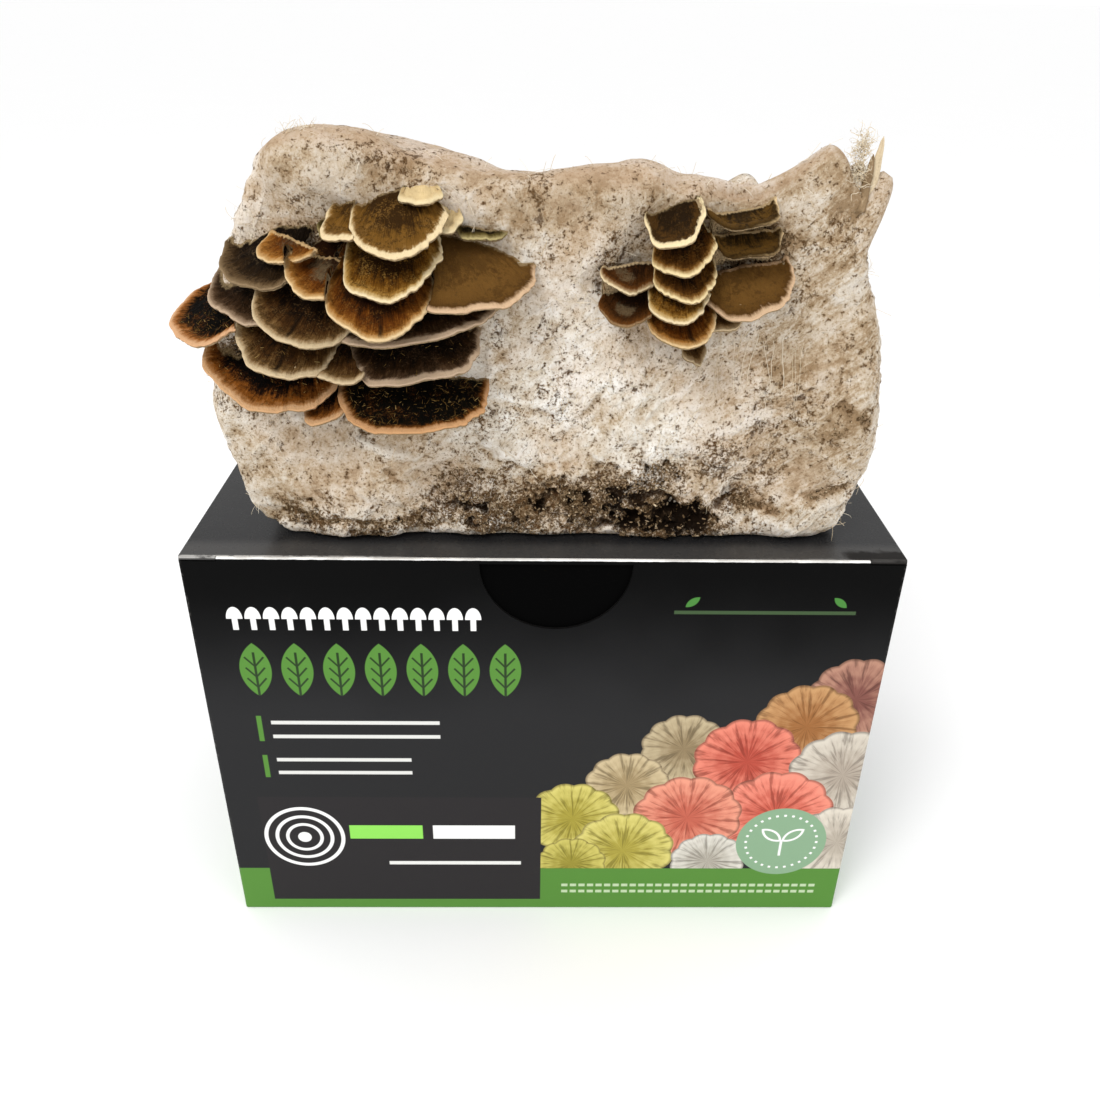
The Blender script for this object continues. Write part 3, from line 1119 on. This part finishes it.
def scatter_chips(surface, rng, material):
    """Sawdust chips on the block's face, thickest where it is bare and dark."""
    places, lean, marks = surface[1:]
    facing = -lean[:, 1] > 0.25
    weight = (0.015 + marks["bare"] ** 3 * 0.5 + marks["dark"] ** 1.5 * 2.5) * facing
    weight *= (places[:, 2] > HEIGHT + 1.5) * (1 - 0.9 * np.clip(marks["hollow"], 0, 1))
    chosen = rng.choice(len(places), CHIP_COUNT, p=weight / weight.sum())
    outward = unit(lean[chosen] + rng.normal(0, 0.25, (CHIP_COUNT, 3)))
    along = unit(np.cross(outward, rng.normal(0, 1, (CHIP_COUNT, 3))))
    over = np.cross(outward, along)
    sizes = np.column_stack((rng.uniform(0.4, 1.4, CHIP_COUNT), rng.uniform(0.25, 0.7, CHIP_COUNT),
                             rng.uniform(0.15, 0.35, CHIP_COUNT)))
    sizes *= (0.6 + 0.5 * np.clip(marks["dark"][chosen], 0, 1))[:, None]
    centres = places[chosen] + outward * 0.05
    points, faces = slivers(centres, along, over, sizes)
    tone = np.clip(rng.normal(0.62, 0.22, CHIP_COUNT) - marks["dark"][chosen] * 0.2, 0, 1)
    tones = {"tone": np.repeat(tone, CHIP_CORNERS)}
    piece_from("sawdust_chips", points, faces, material, tones, False)


def face_places(surface, spots):
    """Points of the block's face at pairs of x and height above the lid, and the outward lean there."""
    places, lean = surface[1:3]
    front = lean[:, 1] < -0.2
    flat = places[front][:, (0, 2)] - (0, HEIGHT + LIFT)
    nearest = [int(np.argmin(np.abs(flat - spot).sum(axis=1))) for spot in np.asarray(spots)]
    return places[front][nearest], lean[front][nearest]


def grow_threads(surface, rng, material):
    """Loose mycelium: fuzz on the white mats, and fine runs that hang below the right cluster."""
    places, lean, marks = surface[1:]
    weight = np.clip(marks["cover"] - 0.45, 0, 1) * (-lean[:, 1] > 0.3) * (1 - np.clip(marks["dark"], 0, 1))
    weight *= places[:, 2] > HEIGHT + 5
    chosen = rng.choice(len(places), FUZZ_COUNT, p=weight / weight.sum())
    steps = np.linspace(0, 1, FUZZ_POINTS)[None, :, None]
    outward = lean[chosen][:, None, :]
    heading = unit(rng.normal(0, 1, (FUZZ_COUNT, 1, 3)) * (1, 0.3, 1))
    bend = rng.normal(0, 0.5, (FUZZ_COUNT, 1, 3))
    length = rng.uniform(1.5, 5.0, (FUZZ_COUNT, 1, 1))
    arch = 4 * steps * (1 - steps) * rng.uniform(0.15, 0.6, (FUZZ_COUNT, 1, 1))
    paths = places[chosen][:, None, :] + heading * steps * length + bend * steps ** 2 * 1.5 + outward * arch
    radii = np.repeat(rng.uniform(0.04, 0.08, (FUZZ_COUNT, 1)), FUZZ_POINTS, axis=1)
    thread_piece("mycelium_fuzz", paths, radii, rng.uniform(0.5, 1.0, FUZZ_COUNT), material)

    runs = []
    for i in range(RUN_COUNT):
        x = RUN_LEFT + RUN_SPREAD * i / RUN_COUNT + rng.uniform(-1, 1)
        high = RUN_PEAK[1] - abs(x - RUN_PEAK[0]) * 0.2 + rng.uniform(-2, 2)
        low = high - rng.uniform(10, 22)
        levels = np.linspace(high, low, THREAD_POINTS)
        spots = np.column_stack((x + np.linspace(0, rng.uniform(-4, 6), THREAD_POINTS), levels))
        on_face, outward = face_places(surface, spots)
        runs.append(on_face + outward * 0.25)
    paths = np.array(runs)
    paths[:, 1:-1] = (paths[:, :-2] + paths[:, 1:-1] * 2 + paths[:, 2:]) / 4
    radii = np.repeat(rng.uniform(0.05, 0.12, (RUN_COUNT, 1)), THREAD_POINTS, axis=1)
    thread_piece("mycelium_runs", paths, radii, rng.uniform(0.6, 0.9, RUN_COUNT), material)


def tuft(name, place, lean_to, count, length, spread, radius, wiggle, tones, rng, material):
    """A bunch of thin frayed fibres that stands at a place, in mm. Wiggle is how far each step turns."""
    starts = np.array(place) + rng.normal(0, 1, (count, 1, 3)) * np.array(spread)
    heading = unit(np.array(lean_to) + rng.normal(0, 0.4, (count, 1, 3)))
    steps = THREAD_POINTS - 1
    turns = np.cumsum(rng.normal(0, wiggle, (count, steps, 3)), axis=1)
    strides = unit(heading + turns) * length / steps * rng.uniform(0.35, 1.0, (count, 1, 1))
    paths = np.concatenate((starts, starts + np.cumsum(strides, axis=1)), axis=1)
    radii = radius * np.linspace(1.0, 0.45, THREAD_POINTS)[None, :] * rng.uniform(0.6, 1.4, (count, 1))
    thread_piece(name, paths, radii, rng.uniform(*tones, count), material)


def blade(name, foot, tip, width, thickness, tone, bluntness, material, marks=None):
    """A flattened spike from foot to tip, in mm, with its broad side to the front."""
    steps = np.linspace(0, 1, BLADE_STEPS)
    path = np.array(foot) + (np.array(tip) - np.array(foot)) * steps[:, None]
    girth = np.clip(1 - steps ** bluntness, 0, 1) ** 0.55 + 0.03
    turns = np.linspace(0, 2 * math.pi, BLADE_SIDES, endpoint=False)
    across = np.outer(girth * width / 2, np.cos(turns))
    over = np.outer(girth * thickness / 2, np.sin(turns))
    points = path[:, None, :] + np.stack((across, over, across * 0), axis=2)
    rough = noise_at(points.reshape(-1, 3) * (1, 1, 0.25), 1.6, 5.0, 2) * 0.3
    points = points.reshape(-1, 3) + np.stack((rough, rough, rough * 0), axis=1)
    faces = []
    for step in range(BLADE_STEPS - 1):
        ring = [step * BLADE_SIDES + side for side in range(BLADE_SIDES)]
        faces += [(here, beside, beside + BLADE_SIDES, here + BLADE_SIDES)
                  for here, beside in zip(ring, ring[1:] + ring[:1])]
    faces.append(list(range(BLADE_SIDES))[::-1])
    faces.append(list(range(len(points) - BLADE_SIDES, len(points))))
    shades = {"tone": np.clip(tone + noise_at(points * (1, 1, 0.08), 0.8, 9.0) * 0.3, 0, 1)}
    shades.update({mark: np.full(len(points), value) for mark, value in (marks or {}).items()})
    piece_from(name, points, faces, material, shades)


def make_loose_bits(surface):
    """Chips, threads and tufts on the block, and the splinters, crumb and flake at its top right."""
    rng = np.random.default_rng(LOOSE_SEED)
    wood = toned_look("sawdust", [(0.0, (42, 31, 20)), (0.35, (92, 73, 50)), (0.7, (146, 123, 94)),
                                  (1.0, (206, 188, 158))])
    thread = toned_look("threads", [(0.0, (122, 94, 60)), (0.5, (206, 184, 148)), (1.0, (238, 230, 212))])
    scatter_chips(surface, rng, wood)
    grow_threads(surface, rng, thread)
    for name, values in TUFTS.items():
        tuft(name, *values, rng, thread)
    for name, shape in SPLINTERS.items():
        blade(name, *shape, wood)
    felted = surface[0].data.materials[0]
    felt_marks = {"cover": 0.4, "bare": 0.1, "dark": 0, "hollow": 0, "top": 0.2, "tan": 0.7}
    blade("flake", *FLAKE, felted, felt_marks)
    blade("crumb", *CRUMB, felted, felt_marks | {"cover": 0.7, "bare": 0.5, "tan": 0.2})


def make_pale_folds(looks):
    """Two smooth pale folds beside the left cluster's top cap."""
    for i, spec in enumerate(PALE_FOLDS):
        points, faces, marks = bracket_skin(spec, PALE_SEED + i, 0.4, PALE_FINISH)
        marks["near"] = np.full(len(points), float(NEAR_LIMIT))
        piece_from("pale_fold_%d" % (i + 1), points, faces, looks["pale"], marks)


def grow_cap_hairs():
    """Short golden hairs on the darkest caps of the left cluster."""
    rng = np.random.default_rng(HAIR_SEED)
    material = toned_look("cap_hairs", [(0.0, (40, 28, 14)), (0.6, (128, 98, 48)), (1.0, (206, 176, 112))])
    for number, count in HAIRY_CAPS:
        mesh = bpy.data.objects["cap_left_%02d_fan" % number].data
        places = mesh_places(mesh) / MM
        gap, under = mesh_mark(mesh, "gap"), mesh_mark(mesh, "under")
        weight = (under == 0) * (gap > HAIR_ZONE[0]) * (gap < HAIR_ZONE[1]) * (places[:, 1] < BLOCK_FRONT)
        chosen = rng.choice(len(places), count, p=weight / weight.sum())
        heading = unit(rng.normal(0, 1, (count, 1, 3)) * (1, 1, 0.4) + (0, -0.5, 0.45))
        steps = np.linspace(0, 1, HAIR_POINTS)[None, :, None]
        length = rng.uniform(0.6, 1.8, (count, 1, 1))
        paths = places[chosen][:, None, :] + heading * steps * length
        radii = np.linspace(1.0, 0.4, HAIR_POINTS)[None, :] * rng.uniform(0.06, 0.12, (count, 1))
        tone = rng.beta(1.2, 1.8, count)
        thread_piece("hairs_%02d" % number, paths, radii, tone, material)


class Print:
    """Artwork on one wall of the carton, made of shapes that are masks. Across and level are in mm."""

    def __init__(self, look, across, level, base=None, wall=1.0):
        self.look = look
        self.across = across
        self.level = level
        self.base = base
        self.wall = wall

    def lay(self, mask, colour):
        self.base = self.look.mix(mask * self.wall, self.base, colour)

    def ink(self, mask, *colour):
        self.lay(mask, rgb(*colour))

    def below(self, value, limit):
        return self.look.fade(value, limit + PRINT_SOFTNESS, limit - PRINT_SOFTNESS)

    def bar(self, left, right, low, high):
        middle_x, middle_z = (left + right) / 2, (low + high) / 2
        wide = self.below(abs(self.across - middle_x), (right - left) / 2)
        return wide * self.below(abs(self.level - middle_z), (high - low) / 2)

    def rule(self, left, right, level, half_line=0.8):
        return self.bar(left, right, level - half_line, level + half_line)

    def distance(self, x, z):
        return ((self.across - x) ** 2.0 + (self.level - z) ** 2.0) ** 0.5

    def disc(self, x, z, radius):
        return self.below(self.distance(x, z), radius)

    def ring(self, x, z, radius, half_line):
        return self.below(abs(self.distance(x, z) - radius), half_line)

    def swing(self, x, z):
        """The angle about a point, in radians from straight up."""
        return self.look.node("ShaderNodeMath", {"operation": "ARCTAN2"},
                              {0: self.across - x, 1: self.level - z})

    def turned(self, x, z, angle):
        """Coordinates about a point, turned by an angle in degrees."""
        turn = math.radians(angle)
        across, level = self.across - x, self.level - z
        return (across * math.cos(turn) + level * math.sin(turn),
                level * math.cos(turn) - across * math.sin(turn))

    def leaf(self, x, z, length, width, angle):
        """A pointed leaf whose length lies along the angle."""
        along, over = self.turned(x, z, angle)
        bow = (length ** 2 / 4 - width ** 2 / 4) / width
        return self.below((along ** 2.0 + (abs(over) + bow) ** 2.0) ** 0.5, bow + width / 2)

    def repeated(self, start, pitch, count):
        """Distance from the middle of the nearest of a row of motifs, and a mask for the row."""
        row = self.below(abs(self.across - (start + pitch * count / 2)), pitch * count / 2)
        phase = self.look.node("ShaderNodeMath", {"operation": "FLOORED_MODULO"},
                               {0: self.across - start, 1: pitch})
        return phase - pitch / 2, row


def print_fans(art):
    """A bank of scalloped fans in the colours of mushrooms, their rims paler than their hearts."""
    look = art.look
    paper_grain = look.noise(1.2, 3, 0.6)
    for x, z, radius, heart, rim in PRINTED_FANS:
        foot = z - radius * 0.5
        far = art.distance(x, foot)
        turn = art.swing(x, foot)
        outline = far - abs((turn * 6.0).sine()) * radius * 0.07
        inside = art.below(outline, radius) * art.below(art.level * -1.0, -GREEN_BAND_TOP)
        zones = (outline * (22.0 / radius)).sine()
        ribs = look.noise(1.0, 3, 0.6, look.joined(turn * 7.0, far * 0.07, x))
        light = outline / radius + zones * 0.07 + (paper_grain - 0.5) * 0.3 + (ribs - 0.5) * 1.3
        colour = look.mix(look.fade(light, 0.1, 1.15), rgb(*heart), rgb(*rim))
        colour = look.paint(colour, look.fade(ribs, 0.5, 0.36) * 0.45, *[part * 0.5 for part in heart])
        art.lay(inside, colour)
        art.ink(inside * (look.fade(abs(outline / radius - 1.0), 0.08, 0.0) * 0.6), 60, 40, 30)


def print_band(art):
    """A green band with two dashed pale rules, and a dark panel over it."""
    art.ink(art.bar(-HALF_WIDTH - 2, HALF_WIDTH + 2, -2, GREEN_BAND_TOP), *GREEN_INK)
    dash, row = art.repeated(7.8, 3.45, 30)
    dashes = art.below(abs(dash), 1.25) * row
    rules = art.below(abs(art.level - 13.4), 0.75) + art.below(abs(art.level - 9.9), 0.75)
    art.ink(dashes * rules * 0.85, 196, 214, 178)
    art.ink(art.bar(-107.6, -0.2, 5.3, 60.4), 44, 42, 43)


def print_titles(art):
    """Two titles: a row of small white caps on stems, and seven green leaves with a dark vein."""
    motif, row = art.repeated(-107.8, 6.2, 14)
    small = Print(art.look, motif, art.level)
    far = ((motif / 2.75) ** 2.0 + ((art.level - 140.8) / 4.7) ** 2.0) ** 0.5
    cap = art.look.fade(far, 1.03, 0.97) * small.below(art.level * -1.0, -140.8)
    art.ink(cap.or_more(small.bar(-0.95, 0.95, 136.3, 141.2)) * row, *WHITE_INK)

    motif, row = art.repeated(-107.6, 14.5, 7)
    large = Print(art.look, motif, art.level)
    vein = large.bar(-0.45, 0.45, 106.0, 127.0)
    for level in (112, 116.5, 121):
        for angle in (50, 130):
            along, over = large.turned(0.0, level, angle)
            vein = vein.or_more(large.below(abs(over), 0.35) * large.below(abs(along - 2.6), 2.6))
    art.ink(large.leaf(0.0, 119.5, 22.6, 11.0, 90) * row * (1 - vein * 0.85), *GREEN_INK)


def print_panel(art):
    """Two ticks with pale rules beside them; growth rings, a green and a white bar and a thin rule."""
    for low, high, right, levels in ((87.6, 99.2, -37.3, (96.2, 89.8)), (70.3, 81.0, -48.4, (78.8, 72.6))):
        art.ink(art.bar(-103, -101.2, low, high), *GREEN_INK)
        for level in levels:
            art.ink(art.rule(-97.9, right, level), 214, 214, 210)
    for radius, half_line in ((14.8, 0.75), (10.6, 0.7), (6.6, 0.65)):
        art.ink(art.ring(-91.8, 39.7, radius, half_line), *WHITE_INK)
    art.ink(art.disc(-91.8, 39.7, 2.6), *WHITE_INK)
    art.ink(art.bar(-74.2, -46.0, 38.9, 45.9), *BRIGHT_GREEN_INK)
    art.ink(art.bar(-42.0, -10.3, 38.9, 45.9), *WHITE_INK)
    art.ink(art.rule(-59.9, -8.0, 25.8, 0.9), 224, 224, 220)


def print_sprig(art):
    """A dim rule with two small leaves, at the top right."""
    art.ink(art.rule(44, 105.8, 144.3, 0.7), 64, 84, 56)
    for leaf_x, angle in ((50, 40), (100, 140)):
        art.ink(art.leaf(leaf_x, 148.4, 6.0, 2.6, angle), 72, 128, 60)


def print_seal(art):
    """A sage disc with a dotted ring and a sprout."""
    x, z = SEAL
    art.ink(art.disc(x, z, 17.7), 134, 165, 134)
    beads = (art.swing(x, z) * 28.0).cosine()
    art.ink(art.look.fade(beads, 0.35, 0.65) * art.ring(x, z, 13.9, 0.5), *WHITE_INK)
    sprout = art.bar(x - 0.5, x + 0.5, z - 7.4, z + 1.1)
    for side, angle in ((1, 38), (-1, 142)):
        outline, heart = [art.leaf(x + side * 4.2, z + 3.6, length, width, angle)
                          for length, width in ((10.5, 5.0), (8.0, 3.2))]
        sprout = sprout.or_more(outline - heart)
    art.ink(sprout, *WHITE_INK)


def printed_walls(look, base, x, y, z):
    """Adds the artwork of the front and the plain rules and leaves of the other walls to a colour."""
    art = Print(look, x, z, base, look.fade(y, -HALF_DEPTH + 0.6, -HALF_DEPTH + 0.4))
    for part in (print_fans, print_band, print_titles, print_panel, print_sprig, print_seal):
        part(art)
    base = art.base
    side_wall = look.fade(abs(x), HALF_WIDTH - 0.6, HALF_WIDTH - 0.4)
    back_wall = look.fade(y, HALF_DEPTH - 0.6, HALF_DEPTH - 0.4)
    for across, wall, stretch in ((y, side_wall, 1.0), (x, back_wall, BACK_STRETCH)):
        art = Print(look, across, z, base, wall)
        for level, half_length in PLAIN_RULES:
            art.ink(art.rule(-half_length * stretch, half_length * stretch, level) * 0.8, *RULE_INK)
        for offset, angle in ((-4.2, 142), (4.2, 38)):
            art.ink(art.leaf(offset, 134, 13, 5.5, angle), *GREEN_INK)
        base = art.base
    return base


def carton_look():
    look = Look("printed_board", roughness=0.42, specular_ior_level=0.06)
    x, y, z = look.axes()
    fibre = look.noise(0.8, 3, 0.6)
    haze = look.noise(40, 2)
    base = look.mix(look.fade(z + (haze - 0.5) * 24, 92, 158), rgb(40, 40, 41), rgb(1, 1, 1))
    base = look.paint(base, look.fade(z, 22.7, 22.4), *GREEN_INK)
    base = printed_walls(look, base, x, y, z)

    # Wear on the upright folds, the raw top edge of the front wall, and the unprinted inside
    corner = abs(x) + abs(y)
    scuff = look.fade(corner, HALF_WIDTH + HALF_DEPTH - 1.3, HALF_WIDTH + HALF_DEPTH - 0.4)
    worn = scuff * look.fade(look.noise(3, 4, 0.7), 0.5, 0.68)
    base = look.paint(base, worn * 0.5, 120, 118, 114)
    outside = (abs(x) - (HALF_WIDTH - 0.5)).or_more(abs(y) - (HALF_DEPTH - 0.5)).or_more(0.5 - z)
    inside = look.fade(outside, 0.05, -0.05)
    chipped = look.noise(5, 4, 0.7)
    raw = look.fade(z + (chipped - 0.5) * 0.5, HEIGHT - 0.55, HEIGHT - 0.4)
    raw = raw * look.fade(y, -HALF_DEPTH + 1.2, -HALF_DEPTH + 1.0)
    raw = raw * look.fade(abs(x), HALF_WIDTH - 12.2, HALF_WIDTH - 12.8)
    inner_colour = look.mix(fibre, rgb(150, 146, 138), rgb(196, 192, 184))
    front_wall = look.fade(y, -HALF_DEPTH + 1.3, -HALF_DEPTH + 1.1)
    inner_colour = look.mix(front_wall, inner_colour, rgb(20, 19, 18))
    base = look.mix(inside, base, inner_colour)
    base = look.mix(raw, base, look.mix(look.fade(look.noise(9, 3), 0.4, 0.6), rgb(214, 212, 208),
                                        rgb(248, 247, 244)))
    streaks = look.noise(6, 4, 0.7, look.stretch(look.place, (1, 1, 0.15)))
    roughness = 0.36 + streaks * 0.14 + inside * 0.35 + worn * 0.2
    return look.finish(base, roughness, look.bump(look.noise(2.5, 3), 0.02))


def lid_look():
    """Satin black board with a pale worn line at its front fold and a rubbed corner. The tuck flap, which
    lies in the dark behind the thumb hole, has a dull finish of its own."""
    look = Look("lid_board", roughness=0.25, specular_ior_level=0.13)
    x, y, z = look.axes()
    top_side = look.fade(z, HEIGHT - 0.5, HEIGHT - 0.3)
    mottle = look.noise(4, 5, 0.65)
    base = look.mix(look.noise(30, 2), rgb(30, 30, 31), rgb(35, 35, 36))
    base = look.paint(base, look.fade(y, -61, -68), 62, 61, 60)
    fold = look.fade(y, FOLD_Y + 0.15, FOLD_Y - 0.15) * top_side
    shown = look.fade(x, -38, -70) + look.fade(x, 60, 95) * 0.35
    base = look.paint(base, (fold * shown * look.fade(mottle, 0.3, 0.6)).or_less(0.75), 186, 184, 180)
    rubbed = look.fade(x + (mottle - 0.5) * 14, 98, 103) * look.fade(y + (mottle - 0.5) * 7, -66.5, -69.5)
    base = look.paint(base, rubbed * 0.8, 22, 19, 17)
    inner = look.fade(z, HEIGHT - 0.8, HEIGHT - 0.9) * look.fade(y, -71, -70)
    base = look.paint(base, inner, 186, 181, 172)
    roughness = 0.2 + mottle * 0.16 + rubbed * 0.5
    material = look.finish(base, roughness, look.bump(look.noise(60, 2) + mottle * 0.02, 0.25))
    dull = look.tree.nodes.new("ShaderNodeBsdfPrincipled")
    dull.inputs["Base Color"].default_value = rgb(4, 4, 4)
    dull.inputs["Roughness"].default_value = 0.9
    dull.inputs["Specular IOR Level"].default_value = 0.02
    flap = look.fade(z, HEIGHT - 1.1, HEIGHT - 1.4) * look.fade(y, FOLD_Y + 0.3, FOLD_Y + 0.1)
    mixed = look.node("ShaderNodeMixShader", None, {0: flap, 1: Wire(look, look.shader.outputs[0]),
                                                    2: Wire(look, dull.outputs[0])})
    look.feed(look.tree.nodes["Material Output"].inputs["Surface"], mixed)
    return material


def inner_board_look():
    look = Look("plain_board", roughness=0.85)
    fibre = look.noise(0.9, 4, 0.65, look.stretch(look.place, (1, 0.3, 1)))
    base = look.mix(fibre, rgb(168, 162, 152), rgb(206, 201, 192))
    return look.finish(base, 0.8 + fibre * 0.15, look.bump(fibre, 0.05))


def dress_carton():
    looks = {"carton_body": carton_look(), "carton_lid": lid_look()}
    looks["dust_flap_left"] = looks["dust_flap_right"] = inner_board_look()
    for name, material in looks.items():
        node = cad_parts[name]
        node.data.materials.clear()
        node.data.materials.append(material)


def make_stage():
    look = Look("floor", roughness=0.9, specular_ior_level=0.2)
    bpy.ops.mesh.primitive_plane_add(size=FLOOR_SIZE, location=(0, 0, 0))
    floor = bpy.context.object
    floor.name = "floor"
    tones = [(tone, tone, tone, 1) for tone in FLOOR_TONES]
    floor.data.materials.append(look.finish(look.mix(look.noise(200, 2), *tones)))
    world = bpy.data.worlds.new("studio")
    world.use_nodes = True
    world.node_tree.nodes["Background"].inputs["Color"].default_value = (1, 1, 1, 1)
    world.node_tree.nodes["Background"].inputs["Strength"].default_value = WORLD_STRENGTH
    bpy.context.scene.world = world


def make_lights():
    for name, (place, size, power) in LAMPS.items():
        data = bpy.data.lights.new(name, "AREA")
        data.shape = "DISK"
        data.size = size
        data.energy = power
        lamp = bpy.data.objects.new(name, data)
        lamp.location = place
        lamp.rotation_euler = (Vector(LAMP_TARGET) - Vector(place)).to_track_quat("-Z", "Y").to_euler()
        bpy.context.scene.collection.objects.link(lamp)


def make_camera():
    data = bpy.data.cameras.new("camera")
    data.lens = CAMERA_LENS
    data.sensor_width = SENSOR
    data.clip_end = FAR_CLIP
    camera = bpy.data.objects.new("camera", data)
    forward = Vector((math.sin(CAMERA_YAW) * math.cos(CAMERA_PITCH),
                      math.cos(CAMERA_YAW) * math.cos(CAMERA_PITCH), -math.sin(CAMERA_PITCH)))
    level_right = Vector((math.cos(CAMERA_YAW), -math.sin(CAMERA_YAW), 0))
    level_up = level_right.cross(forward)
    right = level_right * math.cos(CAMERA_ROLL) + level_up * math.sin(CAMERA_ROLL)
    up = level_up * math.cos(CAMERA_ROLL) - level_right * math.sin(CAMERA_ROLL)
    turn = Matrix((right, up, -forward)).transposed()
    camera.matrix_world = Matrix.Translation(CAMERA_PLACE) @ turn.to_4x4()
    bpy.context.scene.collection.objects.link(camera)
    bpy.context.scene.camera = camera


def main():
    bpy.context.scene.view_settings.view_transform = "Standard"
    dress_carton()
    surface = make_block()
    make_loose_bits(surface)
    looks = {name: bracket_look(name, *values) for name, values in FINISHES.items()}
    tree = surface_tree(surface)
    make_brackets("left", LEFT_BRACKETS, LEFT_FINISHES, looks, LEFT_SEED, tree)
    make_brackets("right", RIGHT_BRACKETS, RIGHT_FINISHES, looks, RIGHT_SEED, tree)
    make_pale_folds(looks)
    grow_cap_hairs()
    make_stage()
    make_lights()
    make_camera()


main()
